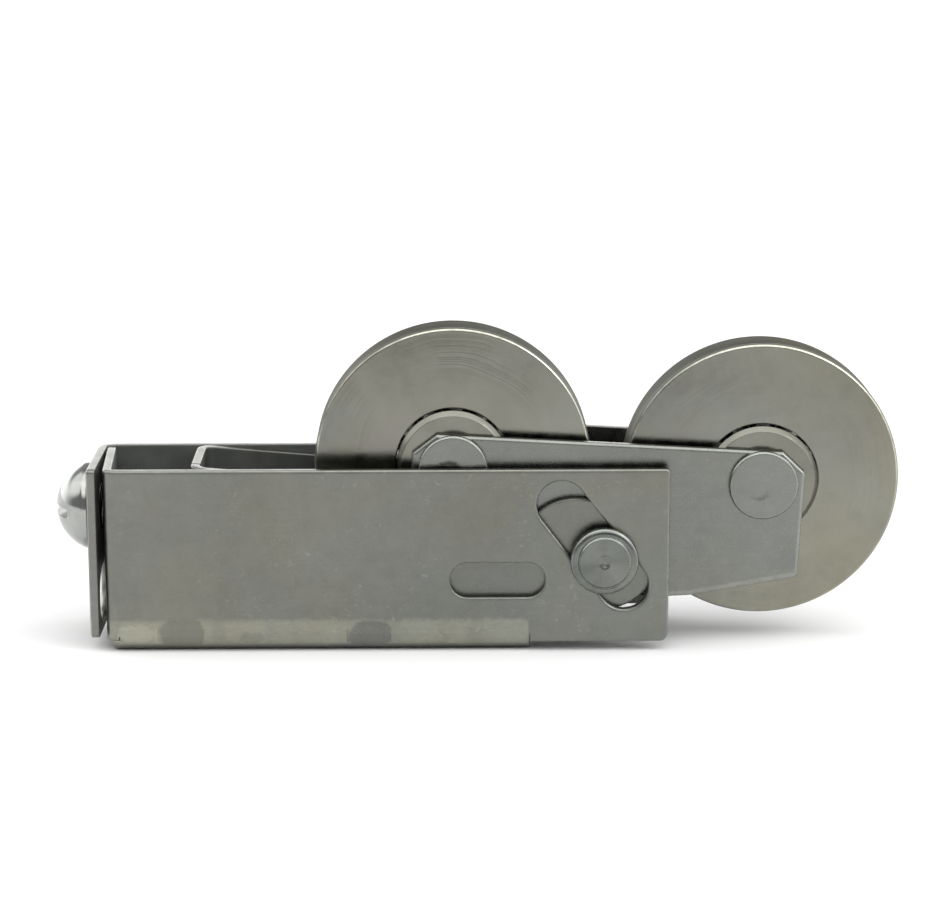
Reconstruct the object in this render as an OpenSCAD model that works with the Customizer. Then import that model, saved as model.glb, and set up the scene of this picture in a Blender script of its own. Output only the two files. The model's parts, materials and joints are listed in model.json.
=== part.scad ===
// Adjustable tandem roller for a sliding door.
// Frame: origin at the middle of the outer face of the housing web, +Z towards
// the wheels, +X from the adjusting screw towards the free wheel, Y = 0 is the
// mid-plane. Front is -Y, back is +Y, left is -X and right is +X.
// In a door the part is turned over, so the wheels point down.

/* [Housing] */
// Overall width across the two side walls
housing_w = 17.5; // [17.4:0.05:18.2]
// Height of the side walls above the web's outer face
housing_h = 25.66; // [24.5:0.1:27]
// X of the walls' open end
wall_end_x = 47.75; // [46.5:0.25:52]
// Length of the web, centred on the origin
web_len = 57.3; // [50:0.5:60]
// Thickness of the folded sheet
sheet = 1.2; // [1.1:0.05:1.25]
// Outer radius of the two long bends
bend_r = 2.5; // [2:0.1:3.2]
// Height of the lower edge of the flaps and of the walls past the web
skirt_z = 1.31; // [1.25:0.05:2]
// Lean of the inner end flap, in degrees
flap_lean = 3.5; // [3.2:0.1:3.8]

/* [Slots] */
// Width of the sloping pin slots
slot_w = 6.8; // [6.8:0.05:7]
// Distance between the end centres of a sloping slot
slot_len = 14.2; // [13:0.1:15]
// Angle of the sloping slots to the horizontal, in degrees
slot_angle = 52.83; // [50:0.5:56]
// Length of the level obround openings, end to end
window_len = 13.1; // [10:0.1:14]
// Height of the level obround openings
window_h = 4.9; // [4:0.1:5.5]

/* [Adjuster] */
// Height of the adjusting screw's axis
screw_z = 18.9; // [18:0.1:19.5]
// Diameter of the screw's shank
screw_d = 6.35; // [5.8:0.05:6.4]
// Length of the screw under its head
screw_len = 21.5; // [18:0.5:26]
// Diameter of the screw's round head
screw_head_d = 12.1; // [10:0.1:12.3]
// Height of the screw's round head
screw_head_h = 5; // [3.5:0.1:5.2]
// Height of the yoke's web and arms
yoke_h = 15.5; // [14.5:0.1:16]
// Lean of the yoke at rest, in degrees
yoke_lean = 4.8; // [4.6:0.1:5]
// Distance from the pivot pin back to the outer face of the yoke's web
yoke_len = 57.4; // [56.5:0.1:58.2]

/* [Pivot] */
// Diameter of the pivot pin's shank
pin_d = 6.6; // [6.5:0.02:6.64]
// Distance of the pin down the slot from its upper end centre
pin_travel = 9.65; // [8.5:0.05:10.5]
// Diameter of the pivot pin's head
pin_head_d = 9.3; // [8.6:0.1:10]

/* [Truck] */
// Lean of the truck at rest, in degrees
truck_lean = 3.15; // [2:0.05:4]
// Half the distance between the wheel centres
wheel_x = 21.28; // [20.8:0.02:22.2]
// Height of the wheel centres above the pivot
wheel_z = 11.07; // [10.8:0.01:11.4]
// Overall width across the truck plates
truck_w = 12.1; // [12:0.05:12.2]

/* [Wheel and bearing] */
// Wheel diameter
wheel_d = 38.1; // [37:0.1:38.4]
// Wheel width
wheel_w = 6.35; // [6.1:0.05:6.6]
// Radius of the tread groove's section
tread_r = 4.8; // [4.4:0.1:5]
// Depth of the tread groove
tread_dip = 0.7; // [0.5:0.05:0.9]
// Number of balls in each wheel
balls = 12; // [8:1:12]
// Ball diameter
ball_d = 3.97; // [3.9:0.01:3.98]
// Radius of the ball circle
ball_circle_r = 7.7; // [7.68:0.01:7.8]
// Outer diameter of the inner race
race_d = 15; // [14.8:0.1:15.1]
// Diameter of the wheel's opening at its faces
hub_hole_d = 15.8; // [15.7:0.05:16]
// Diameter of the axle rivets' shanks
axle_d = 6; // [5.6:0.05:6.02]
// Diameter of the axle rivets' heads
rivet_head_d = 9.5; // [8.8:0.1:9.6]
// Height of the axle rivets' heads
rivet_head_h = 1; // [0.7:0.05:1.1]

/* [Hidden] */
$fn = 96;
lap = 0.01;  // overlap that joins or clears touching faces

// Housing: inner face of the walls, and the end flaps with their bends
wall_in = housing_w/2 - sheet;
bend_y = housing_w/2 - bend_r;
flap_z = skirt_z + 0.44;
lip_top = flap_z - 0.15;
outer_flap_x = -31.8;
outer_flap_free_y = -7.95;
inner_flap_len = 13.1;
back_bend_x = outer_flap_x + bend_r;
front_bend_r = 1.8;
front_bend_x = -29.6 + front_bend_r;
front_bend_y = -housing_w/2 + front_bend_r;
wall_low_corner_r = 1.2;
wall_high_corner_r = 0.5;

// Openings in the walls and flaps: [X, Z] of the slots' upper end centre first
slot_top = [33.02, 20.66];
window_x = 24.25;
window_z = 10.12;
flap_hole_z = 6.6;
inner_hole_r = 2.6;
outer_hole_r = 3.8;
outer_hole_run = 3;  // between the end centres

// Pivot
pin_x = slot_top.x + cos(slot_angle)*pin_travel;
pin_z = slot_top.y - sin(slot_angle)*pin_travel;
pin_eye_r = pin_d/2 + 0.06;
pin_face_y = housing_w/2 + 0.06;
washer_r = 5.4;
washer_thick = 0.8;
spacer_r = 4.5;

// Yoke: Y of the arms' faces, bend radii, and the rounded end of the arms
yoke_out = wall_in - 0.1;
yoke_in = yoke_out - sheet;
yoke_bend_in_r = 0.8;
yoke_bend_r = yoke_bend_in_r + sheet;
lobe_r = 8;
lobe_offset = 3.9;
nose_r = 7.4;

// Screw head
screw_rim = 0.9;
screw_tip_chamfer = 0.8;
driver_slot_w = 1.3;
driver_slot_depth = 2;

// Truck and bearing
plate_in = truck_w/2 - sheet;
axle_eye_r = axle_d/2 + 0.03;
groove_r = ball_d/2 + 0.06;
rim_chamfer = 0.2;
hub_chamfer = 0.25;
race_chamfer = 0.5;
race_gap = 0.01;  // from the mid-plane to each half race

// Least Y of a layer lying from inner to outer on one side of the mid-plane
function layer_y(side, inner, outer) = side > 0 ? inner : -outer;

// Rod along X, from x0 to x1
module rod_x(r, x0, x1) {
    translate([x0, 0, 0]) rotate([0, 90, 0]) cylinder(r = r, h = x1 - x0);
}

// Y-Z section extruded from x0 to x1
module bar_x(x0, x1) {
    translate([x0, 0, 0]) rotate([90, 0, 90]) linear_extrude(height = x1 - x0) children();
}

// Flat plate in X-Z, from y0 to y1
module plate_y(y0, y1) {
    translate([0, y1, 0]) rotate([90, 0, 0]) linear_extrude(height = y1 - y0) children();
}

// Flat plate on one side: -1 is the front, 1 the back
module side_plate(side, inner, outer) {
    y = layer_y(side, inner, outer);
    plate_y(y, y + outer - inner) children();
}

// Turned piece about Y: the profile is in (radius, Y)
module turned_y() {
    rotate([-90, 0, 0]) rotate_extrude() children();
}

// Obround in 2D: the first end centre at start, the second at distance run along angle
module obround(start, angle, run, r) {
    translate(start) rotate(angle) {
        circle(r = r);
        translate([run, 0]) circle(r = r);
        translate([0, -r]) square([run, 2*r]);
    }
}

// Puts its children in a frame at the pivot, leaning by the given angle
module at_pivot(lean = 0) {
    translate([pin_x, 0, pin_z]) rotate([0, lean, 0]) children();
}

// Puts its children at a wheel centre: side -1 is left, 1 is right
module at_wheel(side) {
    at_pivot(truck_lean) translate([side*wheel_x, 0, wheel_z]) children();
}

// Section of the web and its two long bends in Y-Z, up to height top
module web_section(top) {
    intersection() {
        translate([-housing_w, 0]) square([2*housing_w, top]);
        difference() {
            union() {
                translate([-bend_y, 0]) square([2*bend_y, sheet]);
                for (side = [-1, 1]) translate([side*bend_y, bend_r]) circle(r = bend_r);
            }
            translate([-bend_y, sheet]) square([2*bend_y, 2*bend_r]);
            for (side = [-1, 1]) translate([side*bend_y, bend_r]) circle(r = bend_r - sheet);
        }
    }
}

// One wall's outline in X-Z: lower past the web, rounded corners at the open end
module wall_outline() {
    low = wall_low_corner_r;
    high = wall_high_corner_r;
    difference() {
        union() {
            translate([front_bend_x, bend_r])
                square([wall_end_x - front_bend_x, housing_h - bend_r]);
            translate([web_len/2 - lap, skirt_z])
                square([wall_end_x - web_len/2 + lap, bend_r]);
        }
        translate([wall_end_x - low, skirt_z - lap]) square([low + 1, low + lap]);
        translate([wall_end_x - high, housing_h - high]) square([high + 1, high + 1]);
    }
    translate([wall_end_x - low, skirt_z + low]) circle(r = low);
    translate([wall_end_x - high, housing_h - high]) circle(r = high);
}

// Inner flap and its bend from the front wall, in X-Y
module inner_flap_plan() {
    translate([front_bend_x, front_bend_y]) {
        difference() {
            circle(r = front_bend_r);
            circle(r = front_bend_r - sheet);
            translate([lap, -5]) square([5, 10]);
            rotate(flap_lean) translate([-5, 0]) square([10, 5]);
        }
        rotate(flap_lean) translate([-front_bend_r, -lap]) square([sheet, inner_flap_len]);
    }
}

// Outer flap and its bend from the back wall, in X-Y
module outer_flap_plan() {
    translate([back_bend_x, bend_y]) difference() {
        circle(r = bend_r);
        circle(r = bend_r - sheet);
        translate([lap, -5]) square([5, 10]);
        translate([-5, -5]) square([10, 5 - lap]);
    }
    translate([outer_flap_x, outer_flap_free_y]) square([sheet, bend_y - outer_flap_free_y]);
    translate([back_bend_x, wall_in]) square([front_bend_x - back_bend_x + lap, sheet]);
}

module housing_body() {
    // web and long bends, with a low lip under the end flaps
    bar_x(front_bend_x, web_len/2) web_section(bend_r + lap);
    bar_x(-web_len/2, front_bend_x + lap) web_section(lip_top);
    for (side = [-1, 1]) side_plate(side, wall_in, housing_w/2) wall_outline();
    translate([0, 0, flap_z]) linear_extrude(height = housing_h - flap_z) {
        inner_flap_plan();
        outer_flap_plan();
    }
}

module housing() {
    window_run = window_len - window_h;
    color([0.49, 0.49, 0.46]) difference() {
        housing_body();
        // sloping slots for the pivot pin, both walls
        plate_y(-housing_w, housing_w) obround(slot_top, -slot_angle, slot_len, slot_w/2);
        // level openings, both walls
        plate_y(-housing_w, housing_w)
            obround([window_x - window_run/2, window_z], 0, window_run, window_h/2);
        // clearance for the adjusting screw in both flaps
        translate([0, 0, screw_z]) rod_x(screw_d/2 + 0.2, -40, -20);
        // lower hole: round in the inner flap, wide opening in the outer one
        translate([0, 0, flap_hole_z]) {
            rod_x(inner_hole_r, -31, -20);
            bar_x(-34, outer_flap_x + sheet + 0.05)
                obround([-outer_hole_run/2, 0], 0, outer_hole_run, outer_hole_r);
        }
        // notch in the outer flap's lower free corner
        translate([outer_flap_x - 1, -9, skirt_z]) cube([sheet + 1.1, 1.6, 1.2]);
    }
}

// Outline of a yoke arm in X-Z, pin at the origin
module arm_outline() {
    half_h = yoke_h/2;
    // [x, z] of the cut-away in the upper edge, from the web end to the lobe's top
    cutaway = [
        [-36.5, half_h + 1], [-35.5, half_h], [-29.5, 1.2], [-11.7, 1.2],
        [-10.9, 3.8], [-9.3, 5.85], [-6.9, 7.44],
        [-lobe_offset, lobe_r], [-lobe_offset, half_h + 1]
    ];
    difference() {
        union() {
            translate([-yoke_len, -half_h]) square([yoke_len - lobe_offset, yoke_h]);
            translate([-lobe_offset, 0]) circle(r = lobe_r);
            circle(r = nose_r);
        }
        polygon(cutaway);
        circle(r = pin_eye_r);
    }
}

// Yoke web and its two bends, in X-Y
module yoke_web_plan() {
    centre_x = -yoke_len + yoke_bend_r;
    centre_y = yoke_out - yoke_bend_r;
    translate([-yoke_len, -centre_y]) square([sheet, 2*centre_y]);
    for (side = [-1, 1]) difference() {
        translate([centre_x, side*centre_y]) circle(r = yoke_bend_r);
        translate([centre_x, side*centre_y]) circle(r = yoke_bend_in_r);
        translate([centre_x, -10]) square([10, 20]);
        translate([-yoke_len - 1, layer_y(side, -10, centre_y)]) square([10, 10 + centre_y]);
    }
}

module adjuster_yoke() {
    half_h = yoke_h/2;
    color([0.42, 0.43, 0.42]) at_pivot(yoke_lean) difference() {
        union() {
            // arms, cut back where the bends begin
            for (side = [-1, 1]) side_plate(side, yoke_in, yoke_out) difference() {
                arm_outline();
                translate([-yoke_len - 1, -half_h - 1]) square([yoke_bend_r + 1, yoke_h + 2]);
            }
            translate([0, 0, -half_h]) linear_extrude(height = yoke_h) yoke_web_plan();
            // join the bends to the arms
            for (side = [-1, 1])
                translate([-yoke_len + yoke_bend_r - lap, layer_y(side, yoke_in, yoke_out), -half_h])
                    cube([2*lap, sheet, yoke_h]);
        }
        // opening for the adjusting screw
        translate([0, 0, 1.18]) rod_x(screw_d/2 + 0.42, -yoke_len - 2, -yoke_len + 3);
        // seam across the web's upper edge, next to the front bend
        translate([-yoke_len - 1, -yoke_out + yoke_bend_r + 0.25, half_h - 1.4])
            cube([sheet + 2, 0.16, 2]);
    }
}

// Half profile of the screw in (radius, length): shank, chamfered tip, domed head
module screw_profile() {
    shank_len = screw_len - screw_tip_chamfer;
    shank_r = screw_d/2;
    // radius of the dome through the rim and the crown
    rise = screw_head_h - screw_rim;
    dome_r = (pow(screw_head_d/2, 2) + rise*rise)/(2*rise);
    square([shank_r, shank_len]);
    translate([0, shank_len - lap]) polygon([
        [0, 0], [shank_r, 0],
        [shank_r - screw_tip_chamfer, screw_tip_chamfer], [0, screw_tip_chamfer]]);
    intersection() {
        translate([0, -screw_head_h + dome_r]) circle(r = dome_r);
        translate([0, -screw_head_h - 1]) square([screw_head_d/2, screw_head_h + 1]);
    }
}

module adjusting_screw() {
    color([0.83, 0.84, 0.83])
    translate([outer_flap_x - 0.08, 0, screw_z]) rotate([0, 90, 0]) difference() {
        rotate_extrude() screw_profile();
        // screwdriver slot
        translate([-driver_slot_w/2, -screw_head_d, -screw_head_h - 1])
            cube([driver_slot_w, 2*screw_head_d, 1 + driver_slot_depth]);
    }
}

module pivot_pin() {
    front = -pin_face_y;
    back = pin_face_y + washer_thick + 0.05;
    shank_r = pin_d/2;
    head_r = pin_head_d/2;
    // [radius, Y]: stepped front head with a centre mark, shank, peened back end
    profile = [
        [0, front - 1.5], [0.55, front - 1.6], [0.8, front - 1.8],
        [3.45, front - 1.8], [3.62, front - 1.65], [3.62, front - 1.32],
        [head_r - 0.55, front - 1.25], [head_r, front - 0.75],
        [head_r, front - 0.12], [head_r - 0.1, front],
        [shank_r, front], [shank_r, back],
        [4.1, back], [4.2, back + 0.25], [3.9, back + 0.8], [3.2, back + 1.1], [0, back + 1.15]
    ];
    color([0.47, 0.48, 0.47]) at_pivot() turned_y() polygon(profile);
}

module pivot_washer() {
    color([0.6, 0.6, 0.58]) at_pivot() translate([0, pin_face_y, 0]) turned_y() difference() {
        square([washer_r, washer_thick]);
        square([pin_d + 0.08, 4], center = true);
    }
}

module pivot_spacer() {
    half_len = plate_in - 0.05;
    color([0.55, 0.55, 0.53]) at_pivot() turned_y() difference() {
        translate([0, -half_len]) square([spacer_r, 2*half_len]);
        square([2*pin_eye_r, 40], center = true);
    }
}

// Outline of a truck plate in X-Z, pivot at the origin
module truck_outline() {
    // [x, z]
    outline = [
        [-27, -1.84], [-27, 12.9], [-23.75, 15.7], [23.75, 15.7], [27, 12.9], [27, -1.84],
        [12.35, -5.24], [7, -5.8], [-7, -5.8], [-12.35, -5.24]
    ];
    difference() {
        polygon(outline);
        circle(r = pin_eye_r);
        for (side = [-1, 1]) translate([side*wheel_x, wheel_z]) circle(r = axle_eye_r);
    }
}

// side -1 is the front plate, 1 the back one
module truck_plate(side) {
    color([0.48, 0.49, 0.49]) at_pivot(truck_lean)
        side_plate(side, plate_in, truck_w/2) truck_outline();
}

module truck_plate_front() { truck_plate(-1); }

module truck_plate_back() { truck_plate(1); }

// Solid wheel: grooved tread, chamfered rims, ball groove in the bore
module wheel() {
    half_w = wheel_w/2;
    rim_r = wheel_d/2;
    hub_r = hub_hole_d/2;
    color([0.52, 0.52, 0.48]) turned_y() difference() {
        polygon([
            [hub_r + hub_chamfer, -half_w], [rim_r - rim_chamfer, -half_w],
            [rim_r, -half_w + rim_chamfer], [rim_r, half_w - rim_chamfer],
            [rim_r - rim_chamfer, half_w], [hub_r + hub_chamfer, half_w],
            [hub_r, half_w - hub_chamfer], [hub_r, -half_w + hub_chamfer]]);
        translate([rim_r - tread_dip + tread_r, 0]) circle(r = tread_r);
        translate([ball_circle_r, 0]) circle(r = groove_r);
    }
}

module left_wheel() { at_wheel(-1) wheel(); }

module right_wheel() { at_wheel(1) wheel(); }

// One half of an inner race, groove by the mid-plane: side -1 is front, 1 is back
module race_half(side) {
    race_r = race_d/2;
    profile = [
        [axle_eye_r, race_gap], [race_r, race_gap], [race_r, plate_in - race_chamfer],
        [race_r - race_chamfer, plate_in], [axle_eye_r, plate_in]
    ];
    color([0.6, 0.6, 0.57]) turned_y() difference() {
        polygon([for (point = profile) [point.x, side*point.y]]);
        translate([ball_circle_r, 0]) circle(r = groove_r);
    }
}

module left_race_front() { at_wheel(-1) race_half(-1); }

module left_race_back() { at_wheel(-1) race_half(1); }

module right_race_front() { at_wheel(1) race_half(-1); }

module right_race_back() { at_wheel(1) race_half(1); }

module ball_set() {
    color([0.75, 0.75, 0.74]) for (i = [0:balls - 1])
        rotate([0, i*360/balls, 0]) translate([ball_circle_r, 0, 0]) sphere(d = ball_d, $fn = 48);
}

module left_balls() { at_wheel(-1) ball_set(); }

module right_balls() { at_wheel(1) ball_set(); }

// Axle rivet with a peened head on each side
module axle_rivet() {
    face = truck_w/2;
    top = face + rivet_head_h;
    head_r = rivet_head_d/2;
    shank_r = axle_d/2;
    color([0.5, 0.51, 0.5]) turned_y() polygon([
        [0, -top], [head_r - 0.75, -top], [head_r - 0.2, -top + 0.3], [head_r, -top + 0.7],
        [head_r, -face], [shank_r, -face], [shank_r, face], [head_r, face],
        [head_r, top - 0.7], [head_r - 0.2, top - 0.3], [head_r - 0.75, top], [0, top]]);
}

module left_axle_rivet() { at_wheel(-1) axle_rivet(); }

module right_axle_rivet() { at_wheel(1) axle_rivet(); }

housing();
adjuster_yoke();
adjusting_screw();
pivot_pin();
pivot_washer();
pivot_spacer();
truck_plate_front();
truck_plate_back();
left_wheel();
right_wheel();
left_race_front();
left_race_back();
right_race_front();
right_race_back();
left_balls();
right_balls();
left_axle_rivet();
right_axle_rivet();
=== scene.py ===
"""A two-wheeled truck in a folded sheet housing, with a yoke and an adjusting screw.

The long side lies along X, with the screw at the left end (-X). The front wall faces -Y, where
the camera stands, and Z is up. Pieces are modelled in millimetres and scaled to metres at the end.
"""
import json
import math

import bmesh
import bpy
from mathutils import Matrix, Vector, noise


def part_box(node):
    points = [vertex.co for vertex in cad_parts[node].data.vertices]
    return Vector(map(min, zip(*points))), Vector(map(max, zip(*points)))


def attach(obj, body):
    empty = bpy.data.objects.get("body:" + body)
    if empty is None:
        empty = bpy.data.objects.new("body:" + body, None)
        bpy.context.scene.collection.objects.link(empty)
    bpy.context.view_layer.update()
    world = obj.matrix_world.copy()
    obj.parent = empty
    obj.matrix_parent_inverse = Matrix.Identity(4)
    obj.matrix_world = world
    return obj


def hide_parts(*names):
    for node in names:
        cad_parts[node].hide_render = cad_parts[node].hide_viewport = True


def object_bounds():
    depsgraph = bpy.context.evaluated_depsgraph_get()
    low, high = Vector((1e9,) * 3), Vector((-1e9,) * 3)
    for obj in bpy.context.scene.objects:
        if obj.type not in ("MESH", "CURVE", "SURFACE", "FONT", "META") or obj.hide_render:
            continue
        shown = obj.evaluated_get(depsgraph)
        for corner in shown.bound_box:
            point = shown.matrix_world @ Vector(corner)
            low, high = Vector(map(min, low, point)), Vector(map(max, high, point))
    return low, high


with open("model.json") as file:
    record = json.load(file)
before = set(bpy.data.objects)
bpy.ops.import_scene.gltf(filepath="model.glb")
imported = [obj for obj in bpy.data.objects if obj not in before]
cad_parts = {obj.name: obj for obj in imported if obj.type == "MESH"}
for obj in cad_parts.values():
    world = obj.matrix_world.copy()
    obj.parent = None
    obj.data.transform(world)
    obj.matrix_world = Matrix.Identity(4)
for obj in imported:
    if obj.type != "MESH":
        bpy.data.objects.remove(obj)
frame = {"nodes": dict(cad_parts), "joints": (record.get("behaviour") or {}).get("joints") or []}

MM = 0.001
CAD_LO, CAD_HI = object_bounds()
JOINTS = {joint["name"]: joint for joint in frame["joints"]}


def joint_mm(name):
    return Vector(JOINTS[name]["pos_m"]) * 1000


# ------------------------------------------------------------------ shared dimensions, mm

SHEET = 1.2
PIN = joint_mm("truck_rock")
WHEELS = {"left": joint_mm("left_wheel_spin"), "right": joint_mm("right_wheel_spin")}
WHEEL_SPAN = WHEELS["right"] - WHEELS["left"]
SCREW_Z = JOINTS["screw_turn"]["pos_m"][2] * 1000
RIGHT_X, HALF_Y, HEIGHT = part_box("housing")[1] * 1000
LEFT_X = -31.8  # outer face of the housing's left end
PIN_BORE = 3.36
AXLE_BORE = 3.03
TRUCK_FACE = 6.05  # outer faces of the truck plates, from the middle
BALL_CIRCLE = 7.7
BALL_GROOVE = 3.97 / 2 + 0.06

# ------------------------------------------------------------------ outlines


def stations(start, span, count):
    return [start + span * i / count for i in range(count + 1)]


def arc(centre, radius, start, end):
    """Points on an arc, angles in degrees, both ends included."""
    count = max(2, int(abs(end - start) / 6.0) + 1)
    angles = [math.radians(start + (end - start) * i / count) for i in range(count + 1)]
    return [(centre[0] + radius * math.cos(a), centre[1] + radius * math.sin(a)) for a in angles]


def circle(x, y, radius, count=72):
    angles = [2 * math.pi * i / count for i in range(count)]
    return [(x + radius * math.cos(a), y + radius * math.sin(a)) for a in angles]


def slot(start, end, radius):
    """Outline of a round-ended slot between two centres."""
    heading = math.degrees(math.atan2(end[1] - start[1], end[0] - start[0]))
    return (arc(end, radius, heading - 90, heading + 90)
            + arc(start, radius, heading + 90, heading + 270))


def area(points):
    total = 0
    for i, (x, y) in enumerate(points):
        next_x, next_y = points[(i + 1) % len(points)]
        total += x * next_y - next_x * y
    return 0.5 * total


def clean(points, tolerance=1e-4):
    """The closed outline without repeated points."""
    kept = []
    for point in points:
        if not kept or math.dist(point, kept[-1]) > tolerance:
            kept.append(point)
    if math.dist(kept[0], kept[-1]) <= tolerance:
        kept.pop()
    return kept


def corner(before, point, after, radius, step):
    """The points that replace one corner with an arc, about step degrees apart."""
    if radius <= 0:
        return [point]
    before, middle, after = Vector(before), Vector(point), Vector(after)
    u, v = (before - middle).normalized(), (after - middle).normalized()
    half = math.acos(max(-1, min(1, u.dot(v)))) / 2
    if half < 0.02 or half > math.pi / 2 - 0.01:
        return [point]
    reach = min(radius / math.tan(half),
                0.45 * (before - middle).length, 0.45 * (after - middle).length)
    radius = reach * math.tan(half)
    centre = middle + (u + v).normalized() * (radius / math.sin(half))
    first, last = middle + u * reach, middle + v * reach
    start = math.atan2(first.y - centre.y, first.x - centre.x)
    turn = math.atan2(last.y - centre.y, last.x - centre.x) - start
    turn = (turn + math.pi) % (2 * math.pi) - math.pi
    count = max(2, int(abs(math.degrees(turn)) / step + 0.63))
    return [(centre.x + radius * math.cos(start + turn * j / count),
             centre.y + radius * math.sin(start + turn * j / count)) for j in range(count + 1)]


def round_corners(points, radii, step):
    rounded = []
    for i, (point, radius) in enumerate(zip(points, radii)):
        rounded += corner(points[i - 1], point, points[(i + 1) % len(points)], radius, step)
    return rounded


def fillet(profile, step=15.0):
    """Rounds a turned profile of (r, y, corner radius); its two end points stay sharp."""
    radii = [0, *(radius for _, _, radius in profile[1:-1]), 0]
    return round_corners([(r, y) for r, y, _ in profile], radii, step)


def inset(points, width):
    """Every point moved by width towards the left of the direction of travel."""
    moved = []
    for i, point in enumerate(points):
        before, here = Vector(points[i - 1]), Vector(point)
        after = Vector(points[(i + 1) % len(points)])
        d0, d1 = (here - before).normalized(), (after - here).normalized()
        n0, n1 = Vector((-d0.y, d0.x)), Vector((-d1.y, d1.x))
        mitre = (n0 + n1) / max(1 + n0.dot(n1), 0.35)
        moved.append((here.x + mitre.x * width, here.y + mitre.y * width))
    return moved


def inset_polygon(outline, radii, width, share):
    """The polygon with each edge moved inwards by share * width and its corners rounded.

    width is a number, or a function of an edge's midpoint. The point count never changes."""
    edges = []
    for i, point in enumerate(outline):
        start, end = Vector(point), Vector(outline[(i + 1) % len(outline)])
        along = (end - start).normalized()
        full = width((start.x + end.x) / 2, (start.y + end.y) / 2) if callable(width) else width
        shift = share * full
        edges.append((start + Vector((-along.y, along.x)) * shift, along, shift))
    corners, new_radii = [], []
    for i, radius in enumerate(radii):
        (p0, d0, shift0), (p1, d1, shift1) = edges[i - 1], edges[i]
        cross = d0.x * d1.y - d0.y * d1.x
        if abs(cross) < 1e-6:
            corners.append(tuple(p1))
            new_radii.append(0.0)
            continue
        t = ((p1.x - p0.x) * d1.y - (p1.y - p0.y) * d1.x) / cross
        corners.append(tuple(p0 + d0 * t))
        shift = min(shift0, shift1)
        if radius == 0:
            new_radii.append(0.0)
        else:
            new_radii.append(max(0.004, radius - shift) if cross > 0 else radius + shift)
    return round_corners(corners, new_radii, 9.0)


# ------------------------------------------------------------------ solids

# Edge sections as (share of the roll's width, share of its depth), from the face to the side.
ROUND = [(1 - math.sin(math.pi / 2 * k / 4), 1 - math.cos(math.pi / 2 * k / 4)) for k in range(5)]
CHAMFER = [(1.0, 0.0), (0.86, 0.035), (0.55, 0.24), (0.22, 0.50),
           (0.08, 0.66), (0.02, 0.82), (0.0, 1.0)]


def slab(outline, radii, roll, holes, shape=ROUND, lined=False):
    """A flat sheet in (p, q, h) with rolled edges; h runs from 0 on the outer face to SHEET.

    A roll is ((width, depth) on the outer face, (width, depth) on the inner face). holes are
    (points, roll). Material 1 is the sheared edge and, if lined, 2 is the inner face. The
    layer "rim" marks how far round the edge a point is."""
    if area(outline) < 0:
        outline, radii = outline[::-1], radii[::-1]
    contours = [(None, roll)]
    contours += [(clean(h if area(h) < 0 else h[::-1]), hole_roll) for h, hole_roll in holes]
    bm = bmesh.new()
    rim = bm.verts.layers.float.new("rim")
    caps = ([], [])
    for points, ((outer_width, outer_depth), (inner_width, inner_depth)) in contours:
        section = ROUND if points else shape
        rim_rate = 3.0 if section is CHAMFER else 1.0
        rings = [(w, outer_width, outer_depth * d, min(1.0, rim_rate * d)) for w, d in section]
        rings += [(w, inner_width, SHEET - inner_depth * d, 0.6) for w, d in ROUND[::-1]]
        rows = []
        for share, width, h, mark in rings:
            if points:
                line = inset(points, share * width)
            else:
                line = inset_polygon(outline, radii, width, share)
            row = [bm.verts.new((x, y, h)) for x, y in line]
            for vert in row:
                vert[rim] = mark if share < 1 else 0.0
            rows.append(row)
        count = len(rows[0])
        for k, (a, b) in enumerate(zip(rows, rows[1:])):
            for i in range(count):
                j = (i + 1) % count
                face = bm.faces.new((a[i], a[j], b[j], b[i]))
                face.material_index = 1 if k >= len(section) - 2 else 0
        for cap, ring in zip(caps, (rows[0], rows[-1])):
            cap += [bm.edges.get((ring[i], ring[(i + 1) % count])) for i in range(count)]
    for side, normal_z in ((0, -1), (1, 1)):
        filled = bmesh.ops.triangle_fill(bm, use_beauty=True, use_dissolve=False,
                                         edges=caps[side], normal=(0, 0, normal_z))
        for item in filled["geom"]:
            if isinstance(item, bmesh.types.BMFace):
                item.material_index = 2 if side and lined else 0
    bmesh.ops.recalc_face_normals(bm, faces=bm.faces)
    return bm


def cut(bm, axis, values):
    """Adds edges across the mesh where it will bend."""
    for value in values:
        point, normal = [0, 0, 0], [0, 0, 0]
        point[axis], normal[axis] = value, 1
        bmesh.ops.bisect_plane(bm, geom=bm.verts[:] + bm.edges[:] + bm.faces[:], dist=1e-5,
                               plane_co=point, plane_no=normal)


def fold(bm, mapping):
    for vert in bm.verts:
        vert.co = Vector(mapping(*vert.co))
    bmesh.ops.recalc_face_normals(bm, faces=bm.faces)


def lathe(profile, count, closed=False, warp=None, rim=None):
    """Solid turned about local Y from (r, y) points.

    warp(angle, r, y) gives a changed (r, y); rim(r, y) gives the layer "rim"."""
    bm = bmesh.new()
    layer = bm.verts.layers.float.new("rim")
    rows = []
    for r, y in profile:
        if r < 1e-6:
            rows.append([bm.verts.new((0, warp(0.0, r, y)[1] if warp else y, 0))])
            continue
        row = []
        for i in range(count):
            a = 2 * math.pi * i / count
            new_r, new_y = warp(a, r, y) if warp else (r, y)
            row.append(bm.verts.new((new_r * math.cos(a), new_y, new_r * math.sin(a))))
            row[-1][layer] = rim(r, y) if rim else 0.0
        rows.append(row)
    pairs = list(zip(rows, rows[1:])) + ([(rows[-1], rows[0])] if closed else [])
    for a, b in pairs:
        for i in range(count):
            k = (i + 1) % count
            if len(a) == 1:
                bm.faces.new((a[0], b[i], b[k]))
            elif len(b) == 1:
                bm.faces.new((a[i], a[k], b[0]))
            else:
                bm.faces.new((a[i], a[k], b[k], b[i]))
    bmesh.ops.recalc_face_normals(bm, faces=bm.faces)
    return bm


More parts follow.
